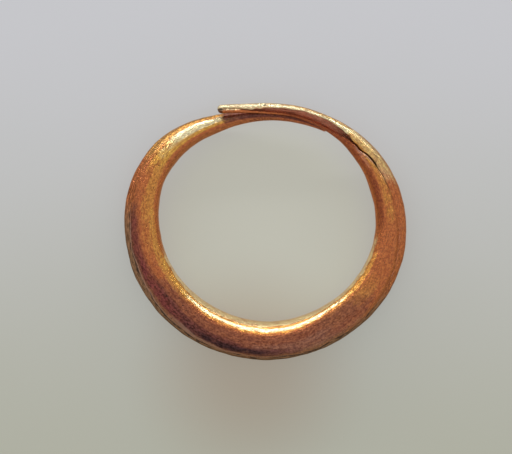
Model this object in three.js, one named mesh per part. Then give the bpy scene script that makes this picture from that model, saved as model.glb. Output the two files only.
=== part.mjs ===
// A plain gold hoop earring: one sheet, rolled lengthwise into a tapered tube and bent into a hoop whose
// ends lap. It lies flat with its front up, the lapped ends towards +Y. Millimetres and degrees.
import * as THREE from "three";

const { smoothstep, degToRad, radToDeg, lerp } = THREE.MathUtils;

// Driving sizes of the hoop
const HOOP_WIDTH = 25.0; // outside, from side to side
const HOOP_HEIGHT = 22.8; // outside, from the bottom to the lapped ends
const TUBE_AT_BOTTOM = 3.5; // the swelling at its thickest
const TUBE_AT_LEFT = 3.18;
const TUBE_AT_RIGHT = 2.82;
const GUTTER_WIDTH = 0.97; // the open thin end at the middle of the lap
const TONGUE_WIDTH = 0.97; // the closed thin end at the same place

// Driving sizes of the sheet and of what lies against it
const SHEET = 0.25; // thickness of the gold where it isn't drawn out
const SEAM_GAP = 0.04; // between the two lapped edges of the sheet
const ENDS_GAP = 0.06; // between the two thin ends, one in front of the other
const FILLING_GAP = 0.05; // between the filling and the sheet round it
const FLEX_GAP = 0.06; // along the hoop, where a thin end begins to bend

// The drawn-out sheet: the most of a tube's half width that its wall, or the gap in its seam, takes
const WALL_SHARE = 0.3;
const SEAM_GAP_SHARE = 0.08;

// Clock angles along the hoop, anticlockwise from the right-hand side
const TONGUE_TIP_ANGLE = 60;
const TONGUE_ROOT_ANGLE = 134;
const GUTTER_ROOT_ANGLE = 406;
const GUTTER_TIP_ANGLE = 471.4;
const FILLING_START_ANGLE = 141;
const FILLING_END_ANGLE = 398;

// The rolled section: the angle over which the under edge rises to the full width, the open gap at which it
// stays up, the angle over which the top edge is burnished down, and what that leaves of the wall
const RISE_ANGLE = 40;
const OPEN_ANGLE = 24;
const BURNISHED_ANGLE = 22;
const EDGE_SHARE = 0.5;

// Steps round the rolled sheet and round the filling
const STEPS_ROUND_TUBE = 24;
const STEPS_ROUND_END = 18;
const STEPS_ROUND_FILLING = 18;

// Steps along each stretch, and along the round nose of a tip
const CRESCENT_STEPS = 68;
const GUTTER_STEPS = 24;
const TONGUE_STEPS = 20;
const FILLING_STEPS = 44;
const NOSE_STEPS = 3;
const NOSE_SHARE = 0.9; // length of a nose to its half width
const NOSE_END_SHARE = 0.4; // what is left of the width at the very end
const FILLING_END_SHARE = 0.55; // what is left of the filling's width at its two ends
const LOOK_ALONG_ANGLE = 0.5; // clock angle either way that gives the hoop's direction

// The line along the middle of the tube, as half widths of an oval
const ACROSS = (HOOP_WIDTH - (TUBE_AT_LEFT + TUBE_AT_RIGHT) / 2) / 2;
const UP = (HOOP_HEIGHT - (TUBE_AT_BOTTOM + GUTTER_WIDTH) / 2) / 2;

// Each thin end stands off the middle plane by its own half width: the gutter in front, the tongue behind
const GUTTER_LIFT = (GUTTER_WIDTH + ENDS_GAP) / 2;
const TONGUE_LIFT = -(TONGUE_WIDTH + ENDS_GAP) / 2;

// Places along the sheet: clock angle, and as shares the reach from the centre to the oval, the width to
// the size that its stretch follows, and the lift
const TONGUE_SHARES = [
  [60, 0.955, 0.28, 1],
  [73, 0.959, 0.7, 1],
  [90, 0.96, 1.0, 1],
  [104, 0.968, 1.38, 1.3],
  [115, 0.98, 1.76, 1.23],
  [127, 1.013, 2.28, 0.63],
];
const LEFT_SHARES = [
  [140, 1.033, 0.825, 0],
  [155, 1.035, 0.88, 0],
  [169, 1.018, 0.955, 0],
  [183, 1.001, 1.0, 0],
  [204, 0.989, 1.07, 0],
];
const BOTTOM_SHARES = [
  [225, 0.981, 1.02, 0],
  [248, 0.979, 1.03, 0],
  [270, 0.984, 1.01, 0],
  [292, 0.982, 0.995, 0],
  [315, 0.987, 0.965, 0],
];
const RIGHT_SHARES = [
  [336, 0.994, 1.12, 0],
  [357, 1.0, 1.0, 0],
  [379, 1.002, 0.9, 0],
  [391, 1.007, 0.8, 0],
];
const GUTTER_SHARES = [
  [400, 1.009, 2.02, 0.1],
  [411, 1.013, 1.66, 0.45],
  [423, 1.013, 1.32, 0.9],
  [437, 1.016, 1.1, 1],
  [450, 1.016, 1.0, 1],
  [461, 1.034, 0.86, 1],
  [471.4, 1.08, 0.8, 1],
];
const placesOf = (rows, size, fullLift) =>
  rows.map(([clock, reach, width, lift]) => [clock, reach, width * size, lift * fullLift]);
const PLACES = [
  ...placesOf(TONGUE_SHARES, TONGUE_WIDTH, TONGUE_LIFT),
  ...placesOf(LEFT_SHARES, TUBE_AT_LEFT, TONGUE_LIFT),
  ...placesOf(BOTTOM_SHARES, TUBE_AT_BOTTOM, TONGUE_LIFT),
  ...placesOf(RIGHT_SHARES, TUBE_AT_RIGHT, GUTTER_LIFT),
  ...placesOf(GUTTER_SHARES, GUTTER_WIDTH, GUTTER_LIFT),
];

// The seam: clock angle, where the top edge of the sheet ends, counted round the section from the outside
// over the front, and how far the under edge runs on beneath it. A lap below zero is a gap: the crack, then
// the gutter.
const SEAM_ANGLES = [
  [60, 12, 40],
  [127, 14, 40],
  [155, 28, 40],
  [180, 31, 38],
  [205, 30, 36],
  [220, 29, 36],
  [232, 25, 36],
  [248, 24, 35],
  [270, 24, 34],
  [292, 22, 34],
  [310, 23, 34],
  [334, 27, 34],
  [350, 36, 34],
  [361, 50, 34],
  [373, 68, 30],
  [384, 77, 14],
  [389, 81, 1],
  [392, 84, -6],
  [396, 90, -6.5],
  [399, 101, -3.5],
  [402, 110, -3],
  [405, 108, -5],
  [409, 112, -20],
  [413, 132, -48],
  [418, 150, -74],
  [436, 158, -82],
  [448, 156, -68],
  [455, 136, -34],
  [461, 112, 6],
  [471.4, 98, 30],
];

// How far the crest of the section lies towards the inside of the hoop: clock angle, and share of the half
// width
const CREST_SHARES = [
  [60, 0],
  [104, 0],
  [116, 0.12],
  [128, 0.26],
  [150, 0.34],
  [180, 0.36],
  [215, 0.33],
  [238, 0.16],
  [262, 0.08],
  [284, 0.1],
  [302, 0.3],
  [325, 0.33],
  [345, 0.27],
  [362, 0.1],
  [378, 0],
  [471.4, 0],
];

// A smooth curve through the rows of a table, read at any clock angle.
function curveThrough(rows) {
  const keys = rows.map((row) => row[0]);
  const values = rows.flatMap((row) => row.slice(1));
  const curve = new THREE.CubicInterpolant(keys, values, rows[0].length - 1);
  return (clock) => [...curve.evaluate(clock)];
}
const placeAt = curveThrough(PLACES);
const seamAt = curveThrough(SEAM_ANGLES);
const crestAt = curveThrough(CREST_SHARES);

// The middle of the tube at a clock angle.
function middleAt(clock) {
  const [reach, , lift] = placeAt(clock);
  const angle = degToRad(clock);
  return new THREE.Vector3(ACROSS * reach * Math.cos(angle), UP * reach * Math.sin(angle), lift);
}

// The clock angle that a length along the hoop takes at a place.
function clockFor(length, clock) {
  return radToDeg(length / middleAt(clock).length());
}

// The tube's middle, its outward and its forward direction, half width, seam and crest at one clock angle.
function sectionAt(clock, widthShare = 1) {
  const behind = middleAt(clock - LOOK_ALONG_ANGLE);
  const ahead = middleAt(clock + LOOK_ALONG_ANGLE).sub(behind).normalize();
  const outward = new THREE.Vector3(ahead.y, -ahead.x, 0).normalize();
  const forward = new THREE.Vector3().crossVectors(outward, ahead).normalize();
  const half = (placeAt(clock)[1] * widthShare) / 2;
  const wall = Math.min(SHEET, half * WALL_SHARE);
  const gap = Math.min(SEAM_GAP, half * SEAM_GAP_SHARE);
  const [topEdge, lap] = seamAt(clock);
  const lean = crestAt(clock)[0] * half;
  return { middle: middleAt(clock), outward, forward, half, wall, gap, topEdge, lap, lean };
}

// A point of the section, which is round but for its crest and its underside: they lean towards the inside.
function pointRound({ middle, outward, forward, lean }, turn, radius) {
  const across = Math.cos(degToRad(turn));
  const front = Math.sin(degToRad(turn));
  return middle
    .clone()
    .addScaledVector(outward, radius * across - lean * front * front)
    .addScaledVector(forward, radius * front);
}

// How far the sheet lies inside the full width: its under edge runs beneath the top edge, then rises.
function sunkBy({ lap, wall, gap }, along) {
  const lapped = smoothstep(lap, -OPEN_ANGLE, 0);
  return lapped * (wall + gap) * (1 - smoothstep(along, lap, lap + RISE_ANGLE));
}

// How far the outer face of the top edge is burnished down.
function burnishedBy({ lap, wall }, along) {
  const sweep = 360 + lap;
  return wall * (1 - EDGE_SHARE) * smoothstep(along, sweep - BURNISHED_ANGLE, sweep);
}

// The outline of the rolled sheet: the outer face from the under edge round to the top edge, then the inner
function sheetOutline(section, steps) {
  const outer = [];
  const inner = [];
  for (let i = 0; i <= steps; i++) {
    const along = ((360 + section.lap) * i) / steps;
    const turn = section.topEdge + section.lap - along;
    const outside = section.half - sunkBy(section, along);
    outer.push(pointRound(section, turn, outside - burnishedBy(section, along)));
    inner.push(pointRound(section, turn, outside - section.wall));
  }
  return [...outer, ...inner.reverse()];
}

// The outline of the filling: it follows the inner face of the sheet from the under edge round to it again.
function fillingOutline(section, steps, share) {
  return Array.from({ length: steps }, (_, i) => {
    const along = (360 * i) / steps;
    const turn = section.topEdge + section.lap - along;
    const radius = section.half - sunkBy(section, along) - section.wall - FILLING_GAP;
    return pointRound(section, turn, radius * share);
  });
}

// A closed skin over a row of outlines that have the same number of points, with a cap on each end.
function loft(outlines, capFaces) {
  const count = outlines[0].length;
  const positions = outlines.flatMap((outline) => outline.flatMap((point) => point.toArray()));
  const index = [];
  for (let ring = 0; ring + 1 < outlines.length; ring++) {
    for (let i = 0; i < count; i++) {
      const here = ring * count + i;
      const next = ring * count + ((i + 1) % count);
      index.push(here, next, here + count, next, next + count, here + count);
    }
  }
  const last = (outlines.length - 1) * count;
  for (const [a, b, c] of capFaces(count)) {
    index.push(a, c, b, last + a, last + b, last + c);
  }
  const geometry = new THREE.BufferGeometry();
  geometry.setAttribute("position", new THREE.Float32BufferAttribute(positions, 3));
  geometry.setIndex(index);
  geometry.computeVertexNormals();
  return geometry;
}

// The cut end of the sheet: a strip of faces between its outer and its inner face.
function stripCap(count) {
  const faces = [];
  for (let i = 0; i + 1 < count / 2; i++) {
    const across = count - 1 - i;
    faces.push([i, i + 1, across], [i + 1, across - 1, across]);
  }
  return faces;
}

// The end of the filling: a fan of faces.
function fanCap(count) {
  return Array.from({ length: count - 2 }, (_, i) => [0, i + 1, i + 2]);
}

// Evenly spaced clock angles, each with the share of the width that it keeps.
function evenPlaces(from, to, steps) {
  return Array.from({ length: steps + 1 }, (_, i) => [lerp(from, to, i / steps), 1]);
}

// Clock angles that round a tip off: they crowd towards the end while the width falls away.
function nosePlaces(root, tip, steps) {
  const halfWidth = placeAt(tip)[1] / 2;
  const noseAngle = Math.sign(tip - root) * clockFor(halfWidth * NOSE_SHARE, tip);
  const start = tip - noseAngle;
  const nose = Array.from({ length: NOSE_STEPS }, (_, i) => {
    const turn = ((i + 1) / NOSE_STEPS) * (Math.PI / 2);
    return [start + noseAngle * Math.sin(turn), lerp(NOSE_END_SHARE, 1, Math.cos(turn))];
  });
  return [...evenPlaces(root, start, steps), ...nose];
}

// A stretch of the rolled sheet as a named piece.
function sheetPiece(name, colour, places, steps) {
  const outlines = places.map(([clock, share]) => sheetOutline(sectionAt(clock, share), steps));
  return piece(name, loft(outlines, stripCap), { color: colour, roughness: 0.36, metalness: 1 });
}

function piece(name, geometry, finish) {
  const mesh = new THREE.Mesh(geometry, new THREE.MeshStandardMaterial(finish));
  mesh.name = name;
  return mesh;
}

// The swelling tube, with its seam outside front and the crack that opens at the right shoulder
function crescentSheet() {
  const places = evenPlaces(TONGUE_ROOT_ANGLE, GUTTER_ROOT_ANGLE, CRESCENT_STEPS);
  return sheetPiece("crescent_sheet", 0xb9793f, places, STEPS_ROUND_TUBE);
}

// The right-hand thin end, open to the front as a gutter, with a blunt nose
function gutterEnd() {
  const root = GUTTER_ROOT_ANGLE + clockFor(FLEX_GAP, GUTTER_ROOT_ANGLE);
  const places = nosePlaces(root, GUTTER_TIP_ANGLE, GUTTER_STEPS);
  return sheetPiece("gutter_end", 0xd09a50, places, STEPS_ROUND_END);
}

// The left-hand thin end, rolled tight to a point behind the gutter
function tongueEnd() {
  const root = TONGUE_ROOT_ANGLE - clockFor(FLEX_GAP, TONGUE_ROOT_ANGLE);
  const places = nosePlaces(root, TONGUE_TIP_ANGLE, TONGUE_STEPS).reverse();
  return sheetPiece("tongue_end", 0xc88a48, places, STEPS_ROUND_END);
}

// The packing inside the swelling tube, drawn in at its two ends
function coreFilling() {
  const outlines = evenPlaces(FILLING_START_ANGLE, FILLING_END_ANGLE, FILLING_STEPS).map(([clock], i) => {
    const isEnd = i === 0 || i === FILLING_STEPS;
    return fillingOutline(sectionAt(clock), STEPS_ROUND_FILLING, isEnd ? FILLING_END_SHARE : 1);
  });
  const finish = { color: 0x3d2c22, roughness: 0.9, metalness: 0 };
  return piece("core_filling", loft(outlines, fanCap), finish);
}

const hoop = new THREE.Group();
hoop.add(crescentSheet(), gutterEnd(), tongueEnd(), coreFilling());

// The origin is the middle of the hoop's footprint, at the surface that it lies on
const bounds = new THREE.Box3().setFromObject(hoop, true);
const centre = bounds.getCenter(new THREE.Vector3());
hoop.position.set(-centre.x, -centre.y, -bounds.min.z);

const earring = new THREE.Group();
earring.add(hoop);
export default earring;
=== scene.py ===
"""A plain gold hoop earring, rolled from one sheet, worn and dented, lying on a pale floor."""

import math
from types import SimpleNamespace

import bpy
import numpy as np
from bpy.props import FloatProperty, FloatVectorProperty, PointerProperty
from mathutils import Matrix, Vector


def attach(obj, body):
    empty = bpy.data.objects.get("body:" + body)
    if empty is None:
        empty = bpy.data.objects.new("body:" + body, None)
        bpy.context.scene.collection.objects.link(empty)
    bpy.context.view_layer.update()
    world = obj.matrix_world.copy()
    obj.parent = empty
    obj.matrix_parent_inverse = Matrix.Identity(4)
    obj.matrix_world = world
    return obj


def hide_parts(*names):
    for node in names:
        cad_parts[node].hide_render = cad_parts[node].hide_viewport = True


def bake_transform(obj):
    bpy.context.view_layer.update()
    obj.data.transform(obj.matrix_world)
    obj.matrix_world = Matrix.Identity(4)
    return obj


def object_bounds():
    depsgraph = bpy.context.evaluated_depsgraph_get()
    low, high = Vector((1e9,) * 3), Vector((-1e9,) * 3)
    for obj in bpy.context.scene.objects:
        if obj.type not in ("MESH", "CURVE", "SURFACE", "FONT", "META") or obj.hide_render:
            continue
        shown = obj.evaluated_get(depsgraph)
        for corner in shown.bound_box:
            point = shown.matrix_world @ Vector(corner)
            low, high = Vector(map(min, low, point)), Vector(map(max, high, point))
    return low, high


bl_info = {
    "name": "Lapped-end gold hoop",
    "version": (1, 0, 0),
    "blender": (4, 5, 0),
    "location": "View3D > Sidebar > Earring",
    "description": "Dresses a rolled gold hoop earring: sheet, seam, wear and stage",
    "category": "Object",
}

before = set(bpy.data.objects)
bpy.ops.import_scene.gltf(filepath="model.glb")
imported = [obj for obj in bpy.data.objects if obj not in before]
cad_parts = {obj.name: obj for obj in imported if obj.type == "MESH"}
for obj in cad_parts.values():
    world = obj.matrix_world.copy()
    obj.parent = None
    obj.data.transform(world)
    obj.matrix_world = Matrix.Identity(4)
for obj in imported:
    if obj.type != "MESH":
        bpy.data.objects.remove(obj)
CAD_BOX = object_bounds()

MM = 0.001

# Clock angles along the hoop, anticlockwise from the right-hand side: the tips, and where the piece of each
# thin end starts
TONGUE_TIP = 60
TONGUE_PIECE = 150
GUTTER_PIECE = 384
GUTTER_TIP = 471.4

# From one ring of points to the next, and how far either way the tube's direction is taken from
RING_STEP = 0.5
LOOK_ALONG = 0.5

# Where the thin ends bend, and how far on either side
TONGUE_ROOT = 134
GUTTER_ROOT = 406
BEND_REACH = 9

# Steps round the sheet's inner face, outer steps to each of them, and steps of a rounded lip and of a tip
INNER_STEPS = 32
OUTER_PER_INNER = 4
LIP_STEPS = 4
NOSE_STEPS = 9

# The drawn-out sheet: the most of a tube's half width that its wall, or the gap in its seam, takes
WALL_SHARE = 0.3
SEAM_GAP_SHARE = 0.08

# What is left of the wall at the burnished top edge
EDGE_SHARE = 0.5

# A rounded tip: its length to the half width there, and what is left of the width at the very end
NOSE_SHARE = 0.9
NOSE_END_SHARE = 0.12

# Degrees round the tube: over which the sheet rises from beneath the lap, how wide a gap is from which no
# edge lies sunk, and over which the top edge is burnished down
RISE_ANGLE = 40
OPEN_ANGLE = 24
BURNISHED_ANGLE = 22

# Places along the sheet: clock angle, and as shares the reach, the width and the lift
TONGUE_SHARES = [
    (60, 0.955, 0.28, 1),
    (73, 0.959, 0.7, 1),
    (90, 0.96, 1.0, 1),
    (104, 0.968, 1.38, 1.3),
    (115, 0.98, 1.76, 1.23),
    (127, 1.013, 2.28, 0.63),
]
LEFT_SHARES = [
    (140, 1.033, 0.825, 0),
    (155, 1.035, 0.88, 0),
    (169, 1.018, 0.955, 0),
    (183, 1.001, 1.0, 0),
    (204, 0.989, 1.07, 0),
]
BOTTOM_SHARES = [
    (225, 0.981, 1.02, 0),
    (248, 0.979, 1.03, 0),
    (270, 0.984, 1.01, 0),
    (292, 0.982, 0.995, 0),
    (315, 0.987, 0.965, 0),
]
RIGHT_SHARES = [
    (336, 0.994, 1.12, 0),
    (357, 1.0, 1.0, 0),
    (379, 1.002, 0.9, 0),
    (391, 1.007, 0.8, 0),
]
GUTTER_SHARES = [
    (400, 1.009, 2.02, 0.1),
    (411, 1.013, 1.66, 0.45),
    (423, 1.013, 1.32, 0.9),
    (437, 1.016, 1.1, 1),
    (450, 1.016, 1.0, 1),
    (461, 1.034, 0.86, 1),
    (471.4, 1.08, 0.8, 1),
]

# The seam: clock angle, turn of the top edge, and how far the under edge runs on beneath it
SEAM_ANGLES = [
    (60, 12, 40),
    (127, 14, 40),
    (155, 28, 40),
    (180, 31, 38),
    (205, 30, 36),
    (220, 29, 36),
    (232, 25, 36),
    (248, 24, 35),
    (270, 24, 34),
    (292, 22, 34),
    (310, 23, 34),
    (334, 27, 34),
    (350, 36, 34),
    (361, 50, 34),
    (373, 68, 30),
    (384, 77, 14),
    (389, 81, 1),
    (392, 84, -6),
    (396, 90, -6.5),
    (399, 101, -3.5),
    (402, 110, -3),
    (405, 108, -5),
    (409, 112, -20),
    (413, 132, -48),
    (418, 150, -74),
    (436, 158, -82),
    (448, 156, -68),
    (455, 136, -34),
    (461, 112, 6),
    (471.4, 98, 30),
]

# How far the crest of the section lies towards the inside: clock angle, and share of the half width
CREST_SHARES = [
    (60, 0),
    (104, 0),
    (116, 0.12),
    (128, 0.26),
    (150, 0.34),
    (180, 0.36),
    (215, 0.33),
    (238, 0.16),
    (262, 0.08),
    (284, 0.1),
    (302, 0.3),
    (325, 0.33),
    (345, 0.27),
    (362, 0.1),
    (378, 0),
    (471.4, 0),
]

# Where the top edge is burnished shut, from and to which clock angle and how softly, and what is left there
# of the seam's step and gap
SHUT_CLOCKS = (322, 366, 10)
SHUT_SHARE = 0.25

# Random fields that rough the sheet up, each a sum of waves: strength, wavelength in millimetres and seed
FIELD_WAVES = 24
PACE_SPREAD = (0.6, 1.5)
EDGE_FIELDS = ((0.6, 2.6, 11), (0.4, 0.9, 12))
SKIN_FIELDS = ((0.7, 3.4, 1), (0.4, 1.5, 2), (0.2, 0.7, 3))
HAMMER_FIELDS = ((0.5, 0.55, 4), (0.5, 0.9, 5))

# Where the hammer marks lie: from and to which clock angle and turn, and how softly
HAMMERED_CLOCKS = (312, 346, 6)
HAMMERED_TURNS = (92, 150, 10)

# What the relief is lowered by, so that its tops lie on the true tube, and the half width, in millimetres,
# from which it has its full depth
RELIEF_TOP = 1.4
FULL_RELIEF = 1.2

# Cuts and pits in the skin: clock angle and turn of both ends, half width and depth in millimetres
MARKS = (
    (222.0, 93, 221.4, 92, 0.09, 0.05),
    (215.6, 91, 215.2, 91, 0.07, 0.04),
    (210.0, 57, 209.6, 57, 0.09, 0.05),
    (216.8, 69, 216.2, 68, 0.10, 0.05),
    (450.4, 46, 450.9, 54, 0.11, 0.07),
    (148.0, 54, 147.4, 55, 0.06, 0.03),
    (145.5, 54, 145.0, 56, 0.06, 0.03),
    (158.2, 32, 157.0, 30, 0.10, 0.05),
    (121.5, 29, 120.8, 30, 0.06, 0.03),
    (128.2, 27, 127.6, 28, 0.05, 0.03),
    (398.4, 118, 396.6, 102, 0.04, 0.03),
    (400.6, 124, 398.8, 110, 0.04, 0.03),
    (377.2, 80, 374.8, 71, 0.05, 0.04),
    (374.8, 71, 372.6, 65, 0.05, 0.04),
)

# Stretches of colour: the colour, from which to which clock angle and turn it runs, how soft its bounds
# are in the same two ways, and its strength
STRETCHES = (
    ("ochre", (74, 148), (-60, 52), (12, 12), 0.85),
    # painted sheen: these golden rows lie along the low lamp's highlights on the left arm, on worn yellow
    # gold
    ("golden", (74, 150), (52, 100), (12, 9), 0.9),
    ("golden", (146, 184), (74, 112), (14, 12), 0.45),
    ("golden", (172, 226), (96, 124), (12, 9), 0.5),
    ("ochre", (384, 444), (-60, 60), (12, 12), 0.85),
    # painted sheen: these golden rows lie along the low lamp's highlights on the right, on worn yellow gold
    ("golden", (392, 430), (36, 104), (8, 12), 0.85),
    ("golden", (372, 398), (66, 106), (18, 12), 0.45),
    ("golden", (294, 330), (62, 102), (10, 12), 0.35),
    ("ashen", (182, 312), (-4, 50), (10, 12), 0.85),
    # patina with painted shade on the front of the swelling
    ("deep", (204, 322), (44, 102), (14, 14), 0.9),
    ("ashen", (264, 300), (40, 76), (10, 10), 0.5),
    ("patina", (168, 204), (34, 60), (10, 9), 0.8),
    ("patina", (196, 256), (45, 74), (10, 9), 0.7),
    ("patina", (228, 284), (36, 62), (8, 9), 0.8),
    ("plum", (178, 226), (42, 66), (8, 7), 0.75),
    ("soot", (238, 271), (43, 60), (8, 6), 0.85),
    # painted sheen: the golden fringe round the bottom's painted highlight line
    ("golden", (196, 340), (108, 134), (16, 6), 0.65),
    # painted highlights: the pale rows lie where the low lamp's highlights fall, on burnished gold
    ("pale", (107, 139), (52, 84), (9, 9), 0.9),
    ("pale", (222, 316), (114, 126), (16, 4), 0.85),
    ("pale", (410, 446), (50, 104), (8, 8), 0.85),
    ("pale", (398, 450), (12, 56), (8, 10), 0.32),
    ("pale", (382, 412), (24, 84), (8, 10), 0.3),
    ("pale", (442, 480), (-70, 84), (8, 12), 0.85),
    ("pale", (454, 474), (80, 112), (5, 8), 0.75),
    ("coppery", (84, 154), (112, 215), (8, 6), 0.9),
    ("ruddy", (362, 396), (114, 150), (8, 8), 0.95),
    ("ruddy", (394, 442), (104, 215), (6, 8), 0.95),
    # painted highlight on the rubbed flank beside the crack
    ("rosy_rub_and_highlight", (393, 402), (108, 122), (3, 5), 0.7),
    ("bare", (194, 352), (134, 215), (16, 6), 0.9),
    # painted shade: the gutter arm's shadow on the tongue, over darker patina
    ("shaded", (30, 111), (26, 112), (2, 10), 0.98),
    ("shaded", (30, 98), (-120, 290), (8, 10), 0.4),
)

# The turn at the middle of the back, past which turns are counted from below zero
BACK_TURN = 270.0

# Millimetres of skin that one degree takes, along the hoop and round the tube
ALONG_DEGREE = 0.19
ROUND_DEGREE = 0.028

# Noises all over the gold: how many waves to a millimetre, how many finer layers, and how strong those are
CLOUDS = (0.35, 3, 0.5)
MOTTLE = (1.5, 4, 0.65)
ROUND_GRAIN = (5.0, 3, 0.7)
FINE_GRAIN = (13.0, 2, 0.6)
SHELTER = (1.6, 3, 0.5)
PITTED = (0.6, 1, 0.5)

# Noises drawn out along the hoop: how many times longer than wide, and then the same three
LONG_GRAIN = (3.0, 2.6, 3, 0.7)
STREAKS = (6.0, 0.7, 5, 0.65)
SCRATCHES = (10.0, 2.0, 4, 0.7)
FINE_LINES = (7.0, 1.3, 3, 0.7)

# The middle of a noise, from where its troughs end to where its crests begin
NOISE_MIDDLE = (0.40, 0.60)

# Pits: how many cells to a millimetre, and where a pit's floor ends and its rim begins, as shares of a cell
PIT_CELLS = 1.6
PIT_RUN = (0.06, 0.13)

# Beside the seam, from and to which clock angle and how softly: the strip outside it, its dirt and painted
# shade under the top edge, its fine lines, its rubbed lips with painted highlights on them and the darkened
# open crack
STRIP_CLOCKS = (172, 328, 8)
SEAM_DIRT_AND_SHADE_CLOCKS = (170, 322, 4)
LINED_CLOCKS = (150, 345, 12)
BROAD_LIP_CLOCKS = (228, 290, 7)
THIN_LIP_CLOCKS = (176, 228, 8)
CRACK_LIP_CLOCKS = (393, 404, 3)
CRACK_CLOCKS = (376, 394, 3)

# Across the seam, in millimetres onto the top sheet from its edge, and off it below zero: over which the
# strip and the fine lines set in and end, and from where to where, and how softly, the thin lip and the
# crack lie
STRIP_START = (-2.4, -1.0)
STRIP_END = (-0.03, 0.03)
LINED_START = (-1.6, -0.8)
LINED_END = (0.1, 0.5)
THIN_LIP = (0.02, 0.16, 0.04)
CRACK = (-0.12, 0.03, 0.03)

# The broad lip, in millimetres: over which it sets in from the edge, its width at a clock angle, what that
# loses with each degree, and over which it ends past its width
BROAD_LIP_START = (0.01, 0.07)
BROAD_LIP_WIDTH = 0.6
BROAD_LIP_CLOCK = 238
BROAD_LIP_TAPER = 0.01
BROAD_LIP_END = (-0.12, 0.06)

# The outer rim darkened with painted shade on the side away from the lamp, over patina: from and to which
# clock angle and turn, and how softly
SHADED_RIM_CLOCKS = (180, 340, 10)
SHADED_RIM_TURNS = (-60, 3, 5)

# The blackened end of the gutter: over which clock angles and turns it sets in
BLACK_TIP_CLOCKS = (468.6, 470.2)
BLACK_TIP_TURNS = (50, 95)

# The filling: its clouds, given like the noises above, and its chalk grains, given like the pits
RESIN_CLOUDS = (1.4, 4, 0.6)
CHALK_CELLS = 5.0
CHALK_RUN = (0.12, 0.3)

# The floor: half its side in metres, its clouds, and how many millimetres they shift its tone
FLOOR_REACH = 2.0
FLOOR_CLOUDS = (0.05, 2, 0.5)
TONE_STRAY = 6

# In millimetres from the hoop's middle: where the floor's painted tone changes from near to far, where the
# painted pool of the gold's light lies, and the middle and the run of the painted warm shadow
TONE_RUN = (-24, 28)
LIT_RUN = (7, 13)
WARM_SHADOW_MIDDLE = (-1.5, -12.5, 0.0)
WARM_SHADOW_RUN = (1, 12)

# The strip lamp: its distance in metres, and in degrees its angle from straight above, its azimuth and its
# half sizes
LAMP_DISTANCE = 0.4
LAMP_OFF_AXIS = 71
LAMP_AZIMUTH = 95
LAMP_HALF_SIZES = (45, 1.8)
LAMP_TINT = (0.98, 1.0, 1.0)
SKY_TINT = (1.0, 0.95, 0.9, 1.0)

# The camera: in millimetres where it stands off the hoop's middle and the width of its film, and in metres
# its near clip
CAMERA_OFFSET = (-0.82, 0.42)
FILM_WIDTH = 36
NEAR_CLIP = 0.01


def length(name, description, millimetres):
    return FloatProperty(
        name=name, description=description, default=millimetres * MM, subtype="DISTANCE", unit="LENGTH"
    )


def colour(name, description, red, green, blue):
    return FloatVectorProperty(
        name=name, description=description, default=(red, green, blue), subtype="COLOR", min=0, max=1
    )


def brightness(name, description, value):
    return FloatProperty(name=name, description=description, default=value, min=0)


def share_of_one(name, description, value):
    return FloatProperty(name=name, description=description, default=value, subtype="FACTOR", min=0, max=1)


class HoopSizes(bpy.types.PropertyGroup):
    """Driving sizes of the hoop and its sheet."""

    hoop_width: length("Hoop width", "Outside, from side to side", 25.0)
    hoop_height: length("Hoop height", "Outside, from the bottom to the lapped ends", 22.8)
    tube_at_bottom: length("Tube at bottom", "The swelling at its thickest", 3.5)
    tube_at_left: length("Tube at left", "Thickness at the left-hand side", 3.18)
    tube_at_right: length("Tube at right", "Thickness at the right-hand side", 2.82)
    gutter_width: length("Gutter width", "The open thin end at the middle of the lap", 0.97)
    tongue_width: length("Tongue width", "The closed thin end at the same place", 0.97)
    sheet: length("Sheet", "Thickness of the gold", 0.25)
    seam_gap: length("Seam gap", "Between the two lapped edges of the sheet", 0.04)
    ends_gap: length("Ends gap", "Between the two thin ends", 0.06)
    unevenness: length("Unevenness", "How far the beaten skin strays from a true tube", 0.016)
    edge_wander: length("Edge wander", "How far the top edge strays from a clean line", 0.05)
    dimple_depth: length("Dimple depth", "Depth of the small hammer marks", 0.02)


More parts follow.
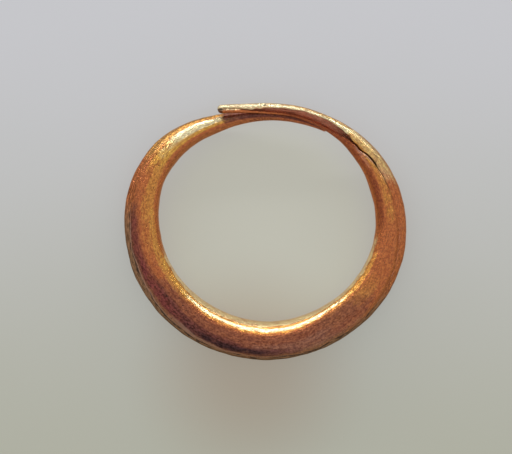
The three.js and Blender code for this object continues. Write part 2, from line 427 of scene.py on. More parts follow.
class GoldColours(bpy.types.PropertyGroup):
    """Colours of the gold, its patina, the painted highlights and shade on it, and the filling."""

    worn: colour("Worn gold", "Most of the skin", 0.62, 0.18, 0.075)
    # golden is worn yellow gold, and also painted sheen along the lamp's highlights
    golden: colour("Golden", "Where handling has kept the skin yellow", 0.86, 0.46, 0.085)
    # pale is burnished gold with painted highlights on it
    pale: colour("Pale gold", "The brightest and barest gold", 1.0, 0.86, 0.55)
    ochre: colour("Ochre", "Duller yellow beside the bright lines", 0.58, 0.31, 0.085)
    coppery: colour("Coppery", "The inner face of the left side", 0.46, 0.15, 0.07)
    ruddy: colour("Ruddy", "The inner face of the right shoulder", 0.31, 0.068, 0.040)
    groove: colour("Groove", "The inner face of the sheet, where the gutter lies open", 0.90, 0.45, 0.31)
    # deep brown is patina with painted shade on it
    deep: colour("Deep brown", "The streaked front of the swelling", 0.30, 0.100, 0.068)
    # the shaded colour is the painted shade of the gutter arm on the tongue, over darker patina
    shaded: colour("Shaded", "The tongue under the gutter, where dirt has stayed", 0.19, 0.066, 0.055)
    patina: colour("Patina", "The purple-brown bloom beside the seam", 0.14, 0.050, 0.050)
    ashen: colour("Ashen", "The greyed front beside the seam", 0.34, 0.17, 0.135)
    # the rosy colour is a painted highlight on the rubbed flank beside the crack
    rosy_rub_and_highlight: colour("Rosy", "The rubbed flank beside the crack", 0.72, 0.30, 0.17)
    plum: colour("Plum", "Reddish patches in the patina", 0.26, 0.065, 0.060)
    soot: colour("Soot", "The darkest of the patina, at the bottom", 0.055, 0.028, 0.032)
    bare: colour("Bare gold", "The inner face of the swelling", 1.0, 0.80, 0.44)
    # lip is a rubbed edge of the sheet with a painted highlight on it
    lip: colour("Lip", "The rubbed edge of the top sheet", 0.50, 0.29, 0.23)
    tarnish: colour("Tarnish", "The duller strip outside the seam", 0.36, 0.21, 0.12)
    # the dirt colour also darkens the seam with painted shade under the top edge
    dirt: colour("Dirt", "What lies in the seam, the gutter and the pits", 0.02, 0.012, 0.010)
    resin: colour("Resin", "The filling's dark binder", 0.035, 0.020, 0.012)
    chalk: colour("Chalk", "Pale grains in the filling", 0.30, 0.22, 0.15)


class StageSettings(bpy.types.PropertyGroup):
    """The floor, the lamp and the camera."""

    # painted uneven light: the paper is lighter and cooler at the top, and darker and warmer at the bottom
    floor: colour("Floor", "Pale paper at the top of the picture", 0.625, 0.635, 0.675)
    near_floor: colour("Near floor", "Pale paper at the bottom of the picture", 0.465, 0.475, 0.395)
    # the lit paper is a painted pool of the gold's light round the hoop, and the warm paper a painted warm
    # shadow under the swelling
    lit_floor: colour("Lit floor", "Paper that the gold throws its light on", 0.585, 0.585, 0.495)
    warm_shadow_floor: colour("Warm floor", "Paper beneath the swelling", 0.41, 0.335, 0.255)
    camera_height: length("Camera height", "Above the floor, straight over the hoop", 300)
    view_width: length("View width", "Across the picture, at the hoop", 45.31)
    low_strength: brightness("Low strength", "Brightness of the low lamp beyond the lapped ends", 17)
    floor_glow: share_of_one("Floor glow", "Share of the floor's colour that no shadow reaches", 0.6)
    sky_strength: brightness("Sky strength", "Brightness of what surrounds the hoop", 0.58)


def curve_through(rows):
    """A smooth curve through the rows of a table, read at any array of clock angles.

    It is a cubic between two rows, with slopes that the rows beside them give.
    """
    keys = np.array([row[0] for row in rows], float)
    values = np.array([row[1:] for row in rows], float)
    last = len(keys) - 1

    def read(clock):
        clock = np.clip(np.asarray(clock, float), keys[0], keys[-1])
        after = np.clip(np.searchsorted(keys, clock, side="right"), 1, last)
        start, end = keys[after - 1], keys[after]
        before = np.where(after > 1, after - 2, after)
        beyond = np.where(after < last, after + 1, after - 1)
        step = end - start
        into = 0.5 * step / (start - keys[before])
        onward = 0.5 * step / (keys[beyond] - end)
        p = (clock - start) / step
        weights = (
            (before, -into * p**3 + 2 * into * p**2 - into * p),
            (after - 1, (1 + into) * p**3 + (-1.5 - 2 * into) * p**2 + (-0.5 + into) * p + 1),
            (after, (-1 - onward) * p**3 + (1.5 + onward) * p**2 + 0.5 * p),
            (beyond, onward * p**3 - onward * p**2),
        )
        return sum(weight[..., None] * values[row] for row, weight in weights)

    return read


def smoothstep(value, low, high):
    share = np.clip((value - low) / (high - low), 0, 1)
    return share * share * (3 - 2 * share)


def window(value, low, high, soft):
    """1 from low to high, and 0 past them."""
    return smoothstep(value, low - soft, low + soft) * (1 - smoothstep(value, high - soft, high + soft))


def unit(vectors):
    return vectors / np.linalg.norm(vectors, axis=-1, keepdims=True)


def ripple(points, wavelength, seed):
    """A smooth random field about zero, from waves that run every way through space."""
    draw = np.random.default_rng(seed)
    ways = unit(draw.normal(size=(FIELD_WAVES, 3)))
    paces = draw.uniform(*PACE_SPREAD, FIELD_WAVES) * math.tau / wavelength
    phases = draw.uniform(0, math.tau, FIELD_WAVES)
    field = np.zeros(points.shape[:-1])
    for way, pace, phase in zip(ways, paces, phases):
        field += np.sin(points @ way * pace + phase)
    return field / math.sqrt(FIELD_WAVES / 2)


def ripples(points, fields):
    """Several random fields on top of each other."""
    return sum(strength * ripple(points, wavelength * MM, seed) for strength, wavelength, seed in fields)


class HoopShape:
    """The rolled sheet as a formula that gives its section at any clock angle, in metres."""

    def __init__(self, sizes):
        self.sizes = sizes
        self.across = (sizes.hoop_width - (sizes.tube_at_left + sizes.tube_at_right) / 2) / 2
        self.up = (sizes.hoop_height - (sizes.tube_at_bottom + sizes.gutter_width) / 2) / 2
        front = (sizes.gutter_width + sizes.ends_gap) / 2
        behind = -(sizes.tongue_width + sizes.ends_gap) / 2
        stretches = (
            (TONGUE_SHARES, sizes.tongue_width, behind),
            (LEFT_SHARES, sizes.tube_at_left, behind),
            (BOTTOM_SHARES, sizes.tube_at_bottom, behind),
            (RIGHT_SHARES, sizes.tube_at_right, front),
            (GUTTER_SHARES, sizes.gutter_width, front),
        )
        self.place = curve_through(
            [
                (clock, reach, width * size, lift * full_lift)
                for rows, size, full_lift in stretches
                for clock, reach, width, lift in rows
            ]
        )
        self.seam = curve_through(SEAM_ANGLES)
        self.crest = curve_through(CREST_SHARES)

    def middle(self, clock):
        """The middle of the tube."""
        reach, _, lift = np.moveaxis(self.place(clock), -1, 0)
        angle = np.radians(clock)
        return np.stack([self.across * reach * np.cos(angle), self.up * reach * np.sin(angle), lift], -1)

    def section(self, clock, share):
        """The tube's middle, directions, half width, wall and seam, as columns for each clock angle."""
        sizes = self.sizes
        middle = self.middle(clock)
        ahead = unit(self.middle(clock + LOOK_ALONG) - self.middle(clock - LOOK_ALONG))
        outward = unit(np.stack([ahead[:, 1], -ahead[:, 0], np.zeros(len(clock))], -1))
        forward = unit(np.cross(outward, ahead))
        half = (self.place(clock)[:, 1] * share / 2)[:, None]
        top_edge, lap = np.moveaxis(self.seam(clock), -1, 0)
        wander = sizes.edge_wander * self.edge_line(middle) / half[:, 0]
        shut = 1 - (1 - SHUT_SHARE) * window(clock, *SHUT_CLOCKS)[:, None]
        return SimpleNamespace(
            clock=clock[:, None],
            middle=middle[:, None],
            outward=outward[:, None],
            forward=forward[:, None],
            half=half,
            wall=np.minimum(sizes.sheet, half * WALL_SHARE),
            gap=np.minimum(sizes.seam_gap, half * SEAM_GAP_SHARE) * shut,
            edge_share=EDGE_SHARE * shut,
            top_edge=(top_edge + np.degrees(wander))[:, None],
            lap=lap[:, None],
            crest=self.crest(clock) * half,
        )

    def edge_line(self, middle):
        """How the hand-cut top edge wanders along the hoop."""
        return ripples(middle, EDGE_FIELDS)

    def outline(self, section):
        """The sheet's outer points from its under edge round to its top edge, and its inner points back."""
        sweep = 360 + section.lap
        outer_along, outer_fill = self.spaced(section, sweep, INNER_STEPS * OUTER_PER_INNER)
        inner_along, inner_fill = self.spaced(section, sweep, INNER_STEPS)
        outer = self.face(section, outer_along, outer_fill, sweep, 1)
        inner = self.face(section, inner_along, inner_fill, sweep, -1)
        return outer, {name: values[:, -2:0:-1] for name, values in inner.items()}

    def spaced(self, section, sweep, steps):
        """Degrees along the section, crowded at the two lips, and how much of the wall each point has."""
        turn = np.linspace(0, math.pi / 2, LIP_STEPS + 1)
        into_lip, fill = 1 - np.cos(turn), np.sin(turn)
        under = np.degrees(section.wall / 2 / section.half)
        top = under * section.edge_share
        between = np.linspace(0, 1, steps + 1)[1:-1]
        start, end = under * into_lip, sweep - top * into_lip[::-1]
        middle = under + (sweep - top - under) * between
        fills = np.concatenate([fill, np.ones(steps - 1), fill[::-1]])
        return np.concatenate([start, middle, end], 1), fills

    def face(self, section, along, fill, sweep, side):
        """Points of the outer (side 1) or inner (side -1) face, with what the finishes read there."""
        lap, wall, half = section.lap, section.wall, section.half
        lapped = smoothstep(lap, -OPEN_ANGLE, 0)
        sunk = lapped * (wall + section.gap) * (1 - smoothstep(along, lap, lap + RISE_ANGLE))
        burnished = wall * (1 - section.edge_share) * smoothstep(along, sweep - BURNISHED_ANGLE, sweep)
        outside = half - sunk - burnished
        inside = half - sunk - wall
        reach = (outside + inside) / 2 + side * fill * (outside - inside) / 2
        turn = section.top_edge + lap - along
        angle = np.radians(turn)[..., None]
        around = np.cos(angle) * section.outward + np.sin(angle) * section.forward
        lean = section.crest[..., None] * np.sin(angle) ** 2 * section.outward
        across = ((reach[..., None] * around - lean) * section.outward).sum(-1)
        top_way, strip_way = (sweep - along) * half, (along - np.maximum(lap, 0)) * half
        edge = np.radians(np.where(top_way < strip_way, top_way, -strip_way))
        return {
            "point": section.middle + reach[..., None] * around - lean,
            "around": around,
            "turn": turn + 360,
            "edge": edge / MM,
            "inside": np.full(turn.shape, (1 - side) / 2),
            "cover": (across[:, -1:] - across) / MM,
        }

    def relief(self, face, section):
        """How far the beaten outer face lies off the true tube."""
        skin = ripples(face["point"], SKIN_FIELDS) - RELIEF_TOP
        hammered = window(section.clock, *HAMMERED_CLOCKS) * window(face["turn"], *HAMMERED_TURNS)
        marks = hammered * ripples(face["point"], HAMMER_FIELDS)
        full = np.minimum(1, section.half / (FULL_RELIEF * MM))
        return (self.sizes.unevenness * skin + self.sizes.dimple_depth * marks) * full

    def marks(self, face, section):
        """How deep each outer point lies in the cuts and pits, and how far it is marked by them, 0 to 1."""
        reach = np.linalg.norm(section.middle, axis=-1)
        depth = np.zeros(face["turn"].shape)
        marked = np.zeros(face["turn"].shape)
        for start_clock, start_turn, end_clock, end_turn, width, deep in MARKS:
            along = np.radians(section.clock - start_clock) * reach
            around = np.radians((face["turn"] - start_turn + 180) % 360 - 180) * section.half
            run = np.radians(end_clock - start_clock) * reach
            rise = np.radians(end_turn - start_turn) * section.half
            share = np.clip((along * run + around * rise) / (run**2 + rise**2), 0, 1)
            near = np.hypot(along - share * run, around - share * rise)
            mark = np.exp(-((near / (width * MM)) ** 2))
            depth = np.maximum(depth, mark * deep * MM)
            marked = np.maximum(marked, mark)
        return depth, marked

    def skin(self, places):
        """The whole skin over rows of (clock angle, share of the width): one row of points for each."""
        clock, share = np.array(places, float).T
        section = self.section(clock, share)
        outer, inner = self.outline(section)
        depth, outer["mark"] = self.marks(outer, section)
        lift = np.minimum(self.relief(outer, section), 0) - depth
        outer["point"] = outer["point"] + lift[..., None] * outer["around"]
        inner["mark"] = np.zeros(inner["turn"].shape)
        outer["clock"] = np.broadcast_to(section.clock, lift.shape)
        inner["clock"] = np.broadcast_to(section.clock, inner["turn"].shape)
        return {name: np.concatenate([outer[name], inner[name]], 1) for name in outer}

    def nose(self, root, tip):
        """Places that round a tip off: they crowd towards the end while the width falls away."""
        half = self.place(tip)[1] / 2
        reach = math.degrees(half * NOSE_SHARE / np.linalg.norm(self.middle(tip)))
        side = math.copysign(1, tip - root)
        turns = (np.arange(NOSE_STEPS) + 1) / NOSE_STEPS * math.pi / 2
        start = tip - side * reach
        return start, [
            (start + side * reach * math.sin(turn), NOSE_END_SHARE + (1 - NOSE_END_SHARE) * math.cos(turn))
            for turn in turns
        ]


def even_places(start, end):
    """Rings at the same clock angles on every piece, so that neighbours share their last ring."""
    first, last = math.ceil(start / RING_STEP), math.floor(end / RING_STEP)
    return [(ring * RING_STEP, 1.0) for ring in range(first, last + 1)]


def ring_normals(points):
    """Normals of a skin of rings, each of which closes on itself."""
    along = np.gradient(points, axis=0)
    around = np.roll(points, -1, 1) - np.roll(points, 1, 1)
    normals = np.cross(around, along)
    return normals / np.maximum(np.linalg.norm(normals, axis=-1, keepdims=True), 1e-15)


def cap_faces(first):
    """The cut end of the sheet, as faces between its outer and its inner points."""
    steps = 2 * LIP_STEPS + INNER_STEPS
    outer_last = 2 * LIP_STEPS + INNER_STEPS * OUTER_PER_INNER

    def outer_at(station):
        middle = min(max(station - LIP_STEPS, 0), INNER_STEPS)
        return station + middle * (OUTER_PER_INNER - 1)

    def inner_at(station):
        return {0: 0, steps: outer_last}.get(station, outer_last + steps - station)

    faces = []
    for station in range(steps):
        outer = range(outer_at(station), outer_at(station + 1) + 1)
        inner = [inner_at(station + 1), inner_at(station)]
        faces.append([first + i for i in dict.fromkeys([*outer, *inner])])
    return faces


def sheet_piece(name, skin, keep, material):
    """A closed mesh of the rings in keep, with the normals of the whole skin so that joins don't show."""
    points = skin["point"]
    normals = ring_normals(points)[keep].reshape(-1, 3)
    rings, count = points[keep].shape[:2]
    here = np.arange(rings * count).reshape(rings, count)
    beside = np.roll(here, -1, 1)
    quads = np.stack([here[:-1], beside[:-1], beside[1:], here[1:]], -1).reshape(-1, 4)
    first_cap = [face[::-1] for face in cap_faces(0)]
    last_cap = cap_faces((rings - 1) * count)
    mesh = bpy.data.meshes.new(name)
    mesh.from_pydata(points[keep].reshape(-1, 3).tolist(), [], quads.tolist() + first_cap + last_cap)
    for attribute in ("clock", "turn", "edge", "inside", "cover", "mark"):
        made = mesh.attributes.new(attribute, "FLOAT", "POINT")
        made.data.foreach_set("value", skin[attribute][keep].ravel().astype(np.float32))
    rest = mesh.attributes.new("rest", "FLOAT_VECTOR", "POINT")
    rest.data.foreach_set("vector", (points[keep] / MM).ravel().astype(np.float32))
    mesh.polygons.foreach_set("use_smooth", np.ones(len(mesh.polygons), bool))
    set_normals(mesh, normals, len(quads))
    mesh.materials.append(material)
    piece = bpy.data.objects.new(name, mesh)
    bpy.context.scene.collection.objects.link(piece)
    return piece


def set_normals(mesh, normals, skin_faces):
    """The skin's own normals on its faces, and flat ones on the cut ends."""
    corners = np.zeros(len(mesh.loops), int)
    mesh.loops.foreach_get("vertex_index", corners)
    wanted = normals[corners]
    for face in mesh.polygons[skin_faces:]:
        wanted[face.loop_start : face.loop_start + face.loop_total] = face.normal
    mesh.normals_split_custom_set(wanted.tolist())


class Shade:
    """A socket of a finish's nodes. Arithmetic on it adds the nodes that work it out."""

    def __init__(self, tree, socket):
        self.tree = tree
        self.socket = socket

    def worked(self, operation, *values):
        plain = all(not isinstance(v, Shade) or v.socket.type == "VALUE" for v in values)
        kind = "ShaderNodeMath" if plain else "ShaderNodeVectorMath"
        inputs = dict(enumerate(values))
        if not plain:
            inputs = {i: (v,) * 3 if isinstance(v, (int, float)) else v for i, v in inputs.items()}
        return add_node(self.tree, kind, {"operation": operation}, inputs)

    def __add__(self, other):
        return self.worked("ADD", self, other)

    def __sub__(self, other):
        return self.worked("SUBTRACT", self, other)

    def __mul__(self, other):
        return self.worked("MULTIPLY", self, other)

    def __rsub__(self, other):
        return self.worked("SUBTRACT", other, self)

    __radd__ = __add__
    __rmul__ = __mul__


def add_node(tree, kind, settings, inputs, output=0):
    """Adds one node: its settings first, then the values or links of its sockets. Gives the output."""
    node = tree.nodes.new(kind)
    for name, value in settings.items():
        setattr(node, name, value)
    for name, value in inputs.items():
        socket = node.inputs[name]
        if isinstance(value, Shade):
            tree.links.new(value.socket, socket)
        else:
            fits = tuple(value) + (1.0,) if socket.type == "RGBA" and len(value) == 3 else value
            socket.default_value = fits
    return Shade(tree, node.outputs[output]) if node.outputs else None


class Finish:
    """A material whose nodes are written as expressions."""

    def __init__(self, name):
        self.material = bpy.data.materials.new(name)
        self.material.use_nodes = True
        self.tree = self.material.node_tree
        self.tree.nodes.clear()

    def node(self, kind, settings, inputs, output=0):
        return add_node(self.tree, kind, settings, inputs, output)

    def attribute(self, name, output="Fac"):
        return self.node("ShaderNodeAttribute", {"attribute_name": name}, {}, output)

    def noise(self, where, scale, detail, roughness):
        inputs = {"Vector": where, "Scale": scale, "Detail": detail, "Roughness": roughness}
        return self.node("ShaderNodeTexNoise", {}, inputs)

    def cells(self, where, scale):
        """The distance to the nearest of many scattered points."""
        return self.node("ShaderNodeTexVoronoi", {}, {"Vector": where, "Scale": scale})

    def ease(self, value, low, high):
        """0 below low, 1 above high, and smooth between."""
        inputs = {"Value": value, "From Min": low, "From Max": high}
        return self.node("ShaderNodeMapRange", {"interpolation_type": "SMOOTHSTEP"}, inputs)

    def band(self, value, low, high, soft):
        """1 from low to high, and 0 past them."""
        return self.ease(value, low - soft, low + soft) * (1 - self.ease(value, high - soft, high + soft))

    def mix(self, first, second, factor):
        settings = {"data_type": "RGBA", "clamp_factor": True}
        return self.node("ShaderNodeMix", settings, {0: factor, 6: first, 7: second}, 2)

    def finish(self, fixed, varying, bump=None):
        """The surface: values that are the same all over, and sockets that vary over it."""
        inputs = dict(fixed)
        inputs.update(varying)
        if bump is not None:
            inputs["Normal"] = bump
        surface = self.node("ShaderNodeBsdfPrincipled", {}, inputs)
        self.node("ShaderNodeOutputMaterial", {}, {"Surface": surface})
        return self.material


class BeatenGold(Finish):
    """Beaten gold: stretches of colour with painted highlights and painted shade among them, a tarnished
    strip, rubbed lips with painted highlights, dirt with painted shade in the seam, pits and scratches.
    """

    def __init__(self, colours):
        super().__init__("beaten_gold")
        self.colours = colours
        self.rest = self.attribute("rest", "Vector")
        self.clock, self.edge = self.attribute("clock"), self.attribute("edge")
        self.inside = self.attribute("inside")
        unrolled = self.attribute("turn")
        past_back = self.node("ShaderNodeMath", {"operation": "GREATER_THAN"}, {0: unrolled, 1: BACK_TURN})
        self.turn = unrolled - 360 * past_back
        flat = {0: self.clock * ALONG_DEGREE, 1: unrolled * ROUND_DEGREE, 2: 0.0}
        self.flat = self.node("ShaderNodeCombineXYZ", {}, flat)
        self.clouds = self.noise(self.rest, *CLOUDS)
        self.mottle = self.noise(self.rest, *MOTTLE)
        self.fine = self.noise(self.rest, *FINE_GRAIN)
        self.grain = self.noise(self.rest, *ROUND_GRAIN) * 0.4 + self.drawn_out(*LONG_GRAIN) * 0.6
        self.specks = self.ease(self.grain, *NOISE_MIDDLE)
        self.streaks = self.drawn_out(*STREAKS)
        self.scratches = self.drawn_out(*SCRATCHES)
        self.lines = self.drawn_out(*FINE_LINES)

    def drawn_out(self, longer, scale, detail, roughness):
        """A noise on the unrolled sheet, longer along the hoop than round the tube."""
        return self.noise(self.flat * (1.0, longer, 1.0), scale, detail, roughness)

    def tint(self, name):
        return tuple(getattr(self.colours, name))

    def made(self):
        """The material, with its colour, its shine and its relief."""
        skin, masks = self.stretches()
        # bare gathers the worn gold with its painted highlights and sheen, and dull the patina with its
        # painted shade
        bare = masks["golden"] + masks["pale"] + masks["bare"] + masks["ochre"] * 0.5
        dull = masks["patina"] + masks["shaded"] + masks["deep"] * 0.6
        strip = self.ease(self.edge, *STRIP_START) * (1 - self.ease(self.edge, *STRIP_END))
        strip = strip * self.band(self.clock, *STRIP_CLOCKS)
        lined = self.ease(self.edge, *LINED_START) * (1 - self.ease(self.edge, *LINED_END))
        lined = lined * self.band(self.clock, *LINED_CLOCKS)
        pits = 1 - self.ease(self.cells(self.rest, PIT_CELLS), *PIT_RUN)
        pits = pits * self.ease(self.noise(self.rest, *PITTED), 0.46, 0.56)
        dirt_and_shade = self.dirt_and_shade(strip, lined, pits)
        skin = self.speckled(skin, bare, dull, masks["bare"])
        skin = self.rubbed(skin, strip, lined)
        # dirt, with painted shade in the seam under the top edge
        skin = self.mix(skin, self.tint("dirt"), dirt_and_shade * 0.8)
        roughness = 0.12 + 0.16 * self.grain + 0.08 * self.mottle
        roughness = roughness + 0.25 * dirt_and_shade + 0.12 * dull - 0.03 * bare + 0.2 * strip
        beaten = self.grain + 0.6 * self.fine + 0.6 * self.scratches + 0.6 * self.streaks
        height = beaten * (1 - 0.3 * bare) - 0.8 * pits
        bump = self.node("ShaderNodeBump", {}, {"Strength": 1.0, "Distance": 0.04 * MM, "Height": height})
        fixed = {"Coat Roughness": 0.15, "Coat IOR": 1.5, "Specular Tint": (0.95, 0.7, 0.5)}
        varying = {
            "Base Color": skin,
            "Metallic": 1 - 0.7 * dirt_and_shade - 0.1 * masks["pale"] - 0.3 * masks["bare"],
            "Roughness": roughness,
            "Coat Weight": (0.05 + 0.4 * bare) * (1 - dirt_and_shade),
        }
        return self.finish(fixed, varying, bump)

    def stretches(self):
        """The colours, and a mask for each. Every stretch is patchy and wanders, the softer the more."""
        patches = self.ease(self.mottle * 0.35 + self.grain * 0.3 + self.streaks * 0.35, *NOISE_MIDDLE)
        clock_stray = (self.clouds - 0.5) * 3 + (self.mottle - 0.5) * 1.5
        turn_stray = (self.streaks - 0.5) * 3 + (self.mottle - 0.5) * 1.5
        flush = self.ease(self.streaks + self.mottle, 0.9, 1.2) * 0.7
        skin = self.mix(self.tint("worn"), self.tint("coppery"), flush)
        masks = {}
        for tint, clocks, turns, (clock_soft, turn_soft), strength in STRETCHES:
            within = self.band(self.clock + clock_stray * clock_soft, *clocks, clock_soft)
            within = within * self.band(self.turn + turn_stray * turn_soft, *turns, turn_soft)
            mask = self.ease(within * (0.6 + 0.7 * patches), 0.05, 0.95) * strength
            skin = self.mix(skin, self.tint(tint), mask)
            masks[tint] = mask + masks.get(tint, 0)
        return skin, masks

    def speckled(self, skin, bare, dull, inner):
        """The skin with golden specks, and with grit that is strongest where it is dull."""
        skin = self.mix(skin, self.tint("golden"), self.specks * (0.16 - 0.14 * dull))
        grit = 0.40 + 0.25 * bare - 0.4 * inner + 0.5 * dull
        speckle = grit * (self.specks - 0.5) + 0.4 * (self.ease(self.fine, 0.35, 0.65) - 0.5)
        return skin * (1 + speckle + 0.5 * (self.mottle - 0.5) + 0.7 * (self.streaks - 0.5))

    def rubbed(self, skin, strip, lined):
        """The skin with the strip, the rim darkened with painted shade, fine lines, the rubbed lips with
        painted highlights and the groove.
        """
        skin = self.mix(skin, self.tint("tarnish"), strip * 0.85)
        # painted shade: the outer rim on the side away from the lamp is darkened
        skin = skin * (1 - 0.5 * self.band(self.turn, *SHADED_RIM_TURNS) * self.band(self.clock, *SHADED_RIM_CLOCKS))
        skin = skin * (1 + lined * (self.ease(self.lines, 0.38, 0.62) - 0.6) * 0.9)
        # the rubbed lips, with a painted highlight where their edges catch the lamp
        lips = self.broad_lip() + self.thin_lip()
        skin = self.mix(skin, self.tint("lip"), lips * self.ease(self.lines + self.grain, 0.6, 1.0) * 0.9)
        skin = self.mix(skin, self.tint("groove"), self.inside * 0.9)
        return skin * (1 - self.inside * 0.5 * self.ease(self.streaks, 0.45, 0.62))

    def broad_lip(self):
        width = BROAD_LIP_WIDTH - (self.clock - BROAD_LIP_CLOCK) * BROAD_LIP_TAPER
        lip = self.ease(self.edge, *BROAD_LIP_START) * (1 - self.ease(self.edge - width, *BROAD_LIP_END))
        return lip * self.band(self.clock, *BROAD_LIP_CLOCKS)

    def thin_lip(self):
        clocks = self.band(self.clock, *THIN_LIP_CLOCKS) + self.band(self.clock, *CRACK_LIP_CLOCKS)
        return self.band(self.edge, *THIN_LIP) * clocks

    def dirt_and_shade(self, strip, lined, pits):
        """Dirt with painted shade where the seam's strip lies under the top edge, and darkening in the
        crack, in pits, cuts and scratches, in the groove and on the tip.
        """
        shelter = self.attribute("cover") + (self.noise(self.rest, *SHELTER) - 0.5) * 0.7
        # painted shade over dirt, where the strip lies under the top edge
        seam = strip * self.ease(shelter, -0.17, -0.05) * self.band(self.clock, *SEAM_DIRT_AND_SHADE_CLOCKS)
        seam = seam + self.band(self.edge, *CRACK) * self.band(self.clock, *CRACK_CLOCKS) * 0.8
        cuts = self.ease(self.attribute("mark"), 0.3, 0.9)
        spots = pits * 0.8 + self.ease(self.scratches, 0.54, 0.62) * lined * 0.6 + cuts * 0.8
        groove = self.inside * self.ease(self.mottle + self.streaks, 0.95, 1.2) * 0.25
        tip = self.ease(self.clock, *BLACK_TIP_CLOCKS) * self.ease(self.turn, *BLACK_TIP_TURNS)
        return self.ease(seam + spots + groove + tip, 0.1, 0.95)


def filling_finish(colours):
    """Dark resin with pale chalk grains and small hollows."""
    f = Finish("resin_and_chalk")
    where = f.node("ShaderNodeTexCoord", {}, {}, "Object") * (1 / MM)
    clouds = f.noise(where, *RESIN_CLOUDS)
    grains = 1 - f.ease(f.cells(where, CHALK_CELLS), *CHALK_RUN)
    skin = f.mix(tuple(colours.resin), tuple(colours.chalk), grains * 0.5 + f.ease(clouds, 0.5, 0.8) * 0.25)
    bump = f.node("ShaderNodeBump", {}, {"Strength": 0.6, "Distance": 0.05 * MM, "Height": clouds + grains})
    varying = {"Base Color": skin, "Roughness": 0.75 + 0.2 * clouds}
    return f.finish({"Metallic": 0.0}, varying, bump)


def gold_material(context):
    """The beaten gold, made once for all three pieces."""
    return bpy.data.materials.get("beaten_gold") or BeatenGold(context.scene.gold_colours).made()


def hoop_shape(context):
    """The shape, and the step from its own middle to the frame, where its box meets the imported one."""
    shape = HoopShape(context.scene.hoop_sizes)
    points = shape.skin(even_places(TONGUE_TIP, GUTTER_TIP))["point"].reshape(-1, 3)
    low, high = points.min(0), points.max(0)
    box_low, box_high = (np.array(corner) for corner in CAD_BOX)
    step = (box_low + box_high - low - high) / 2
    return shape, step


def placed_skin(shape, step, places):
    """The skin over the places, moved into the frame."""
    skin = shape.skin(places)
    skin["point"] = skin["point"] + step
    return skin


def bend_ends(shape, step, root, reach):
    """The two points between which a thin end bends, on the middle of the tube."""
    start, end = shape.middle(np.array([root - reach, root + reach])) + step
    return Vector(start), Vector(end)


class EARRING_OT_gold_crescent(bpy.types.Operator):
    """Roll the swelling tube with its lapped seam"""

    bl_idname = "earring.gold_crescent"
    bl_label = "Gold crescent"

    def execute(self, context):
        shape, step = hoop_shape(context)
        skin = placed_skin(shape, step, even_places(TONGUE_PIECE - RING_STEP, GUTTER_PIECE + RING_STEP))
        piece = sheet_piece("gold_crescent", skin, slice(1, -1), gold_material(context))
        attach(piece, "crescent")
        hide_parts("crescent_sheet")
        return {"FINISHED"}


class EARRING_OT_gold_gutter_arm(bpy.types.Operator):
    """Roll the thin end that lies open as a gutter"""

    bl_idname = "earring.gold_gutter_arm"
    bl_label = "Gold gutter arm"

    def execute(self, context):
        shape, step = hoop_shape(context)
        start, nose = shape.nose(GUTTER_PIECE, GUTTER_TIP)
        skin = placed_skin(shape, step, even_places(GUTTER_PIECE - RING_STEP, start) + nose)
        piece = sheet_piece("gold_gutter_arm", skin, slice(1, None), gold_material(context))
        bend = bend_ends(shape, step, GUTTER_ROOT, BEND_REACH)
        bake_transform(piece)
        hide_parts("gutter_end")
        return {"FINISHED"}


class EARRING_OT_gold_tongue_arm(bpy.types.Operator):
    """Roll the thin end that closes to a point behind the gutter"""

    bl_idname = "earring.gold_tongue_arm"
    bl_label = "Gold tongue arm"

    def execute(self, context):
        shape, step = hoop_shape(context)
        start, nose = shape.nose(TONGUE_PIECE, TONGUE_TIP)
        skin = placed_skin(shape, step, nose[::-1] + even_places(start, TONGUE_PIECE + RING_STEP))
        piece = sheet_piece("gold_tongue_arm", skin, slice(0, -1), gold_material(context))
        bend = bend_ends(shape, step, TONGUE_ROOT, -BEND_REACH)
        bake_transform(piece)
        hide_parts("tongue_end")
        return {"FINISHED"}


class EARRING_OT_core_filling(bpy.types.Operator):
    """Finish the packing inside the swelling tube"""

    bl_idname = "earring.core_filling"
    bl_label = "Core filling"

    def execute(self, context):
        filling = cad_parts["core_filling"]
        filling.data.materials.clear()
        filling.data.materials.append(filling_finish(context.scene.gold_colours))
        return {"FINISHED"}


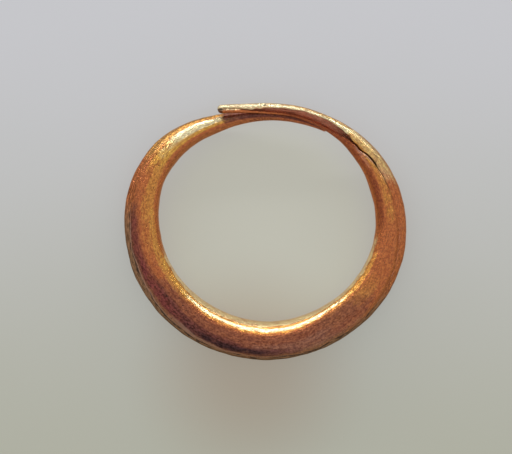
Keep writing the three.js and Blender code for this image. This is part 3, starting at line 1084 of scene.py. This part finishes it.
class EARRING_OT_stage(bpy.types.Operator):
    """Set the floor, the surroundings, the lamp and the camera"""

    bl_idname = "earring.stage"
    bl_label = "Stage"

    def execute(self, context):
        stage = context.scene.stage_settings
        scene = context.scene
        scene.view_settings.view_transform = "Standard"
        self.floor(scene, stage)
        self.surroundings(scene, stage)
        self.lamp(scene, stage)
        self.camera(scene, stage)
        return {"FINISHED"}

    def floor(self, scene, stage):
        mesh = bpy.data.meshes.new("floor")
        sides = ((-1, -1), (1, -1), (1, 1), (-1, 1))
        mesh.from_pydata([(x * FLOOR_REACH, y * FLOOR_REACH, 0) for x, y in sides], [], [(0, 1, 2, 3)])
        mesh.materials.append(self.paper(stage))
        floor = bpy.data.objects.new("floor", mesh)
        scene.collection.objects.link(floor)

    def paper(self, stage):
        """Pale paper with painted light: lighter and cooler at the top, a painted pool of the gold's light
        in the middle and a painted warm shadow below it.
        """
        f = Finish("pale_paper")
        where = f.node("ShaderNodeTexCoord", {}, {}, "Object") * (1 / MM)
        up = f.node("ShaderNodeSeparateXYZ", {}, {0: where}, 1)
        # painted uneven light: darker and warmer towards the bottom
        tone = f.ease(up + f.noise(where, *FLOOR_CLOUDS) * TONE_STRAY, *TONE_RUN)
        skin = f.mix(tuple(stage.near_floor), tuple(stage.floor), tone)
        off_middle = f.node("ShaderNodeVectorMath", {"operation": "LENGTH"}, {0: where}, 1)
        # a painted pool of the gold's light round the hoop
        skin = f.mix(skin, tuple(stage.lit_floor), 0.8 * (1 - f.ease(off_middle, *LIT_RUN)))
        # a painted warm shadow under the swelling
        off_warm_shadow = f.node("ShaderNodeVectorMath", {"operation": "DISTANCE"}, {0: where, 1: WARM_SHADOW_MIDDLE}, 1)
        skin = f.mix(skin, tuple(stage.warm_shadow_floor), 0.65 * (1 - f.ease(off_warm_shadow, *WARM_SHADOW_RUN)))
        rays = f.node("ShaderNodeLightPath", {}, {}, "Is Camera Ray")
        glossy = f.node("ShaderNodeLightPath", {}, {}, "Is Glossy Ray")
        glow = f.mix((0.0, 0.0, 0.0), skin, rays + glossy)
        fixed = {"Roughness": 0.9, "Emission Strength": stage.floor_glow}
        varying = {"Base Color": skin * (1 - stage.floor_glow), "Emission Color": glow}
        return f.finish(fixed, varying)

    def surroundings(self, scene, stage):
        world = bpy.data.worlds.new("surroundings")
        world.use_nodes = True
        background = world.node_tree.nodes["Background"]
        background.inputs["Color"].default_value = SKY_TINT
        background.inputs["Strength"].default_value = stage.sky_strength
        scene.world = world

    def lamp(self, scene, stage):
        """A low strip lamp beyond the lapped ends, turned to the hoop."""
        light = bpy.data.lights.new("low_lamp", "AREA")
        light.shape = "RECTANGLE"
        half_sizes = [LAMP_DISTANCE * math.tan(math.radians(angle)) for angle in LAMP_HALF_SIZES]
        light.size, light.size_y = (2 * half for half in half_sizes)
        light.energy = stage.low_strength * math.pi * light.size * light.size_y
        light.color = LAMP_TINT
        lamp = bpy.data.objects.new("low_lamp", light)
        lamp.visible_camera = False
        tilt, way = math.radians(LAMP_OFF_AXIS), math.radians(LAMP_AZIMUTH)
        aim = Vector((math.sin(tilt) * math.cos(way), math.sin(tilt) * math.sin(way), math.cos(tilt)))
        lamp.location = aim * LAMP_DISTANCE
        lamp.rotation_mode = "QUATERNION"
        lamp.rotation_quaternion = aim.to_track_quat("Z", "Y")
        scene.collection.objects.link(lamp)

    def camera(self, scene, stage):
        data = bpy.data.cameras.new("camera")
        data.sensor_width = FILM_WIDTH
        middle_height = (CAD_BOX[0].z + CAD_BOX[1].z) / 2
        data.lens = data.sensor_width * (stage.camera_height - middle_height) / stage.view_width
        data.clip_start = NEAR_CLIP
        camera = bpy.data.objects.new("camera", data)
        camera.location = (CAMERA_OFFSET[0] * MM, CAMERA_OFFSET[1] * MM, stage.camera_height)
        scene.collection.objects.link(camera)
        scene.camera = camera


OPERATORS = (
    EARRING_OT_gold_crescent,
    EARRING_OT_gold_gutter_arm,
    EARRING_OT_gold_tongue_arm,
    EARRING_OT_core_filling,
    EARRING_OT_stage,
)


class EARRING_PT_panel(bpy.types.Panel):
    """Lists the pieces of the earring in the order in which they are made"""

    bl_label = "Earring"
    bl_idname = "EARRING_PT_panel"
    bl_space_type = "VIEW_3D"
    bl_region_type = "UI"
    bl_category = "Earring"

    def draw(self, context):
        for operator in OPERATORS:
            self.layout.operator(operator.bl_idname)


GROUPS = {"hoop_sizes": HoopSizes, "gold_colours": GoldColours, "stage_settings": StageSettings}
CLASSES = (*GROUPS.values(), *OPERATORS, EARRING_PT_panel)


def register():
    for made in CLASSES:
        bpy.utils.register_class(made)
    for name, group in GROUPS.items():
        setattr(bpy.types.Scene, name, PointerProperty(type=group))


def unregister():
    for name in GROUPS:
        delattr(bpy.types.Scene, name)
    for made in reversed(CLASSES):
        bpy.utils.unregister_class(made)


def main():
    register()
    for operator in OPERATORS:
        group, name = operator.bl_idname.split(".")
        getattr(getattr(bpy.ops, group), name)()


if __name__ == "__main__":
    main()
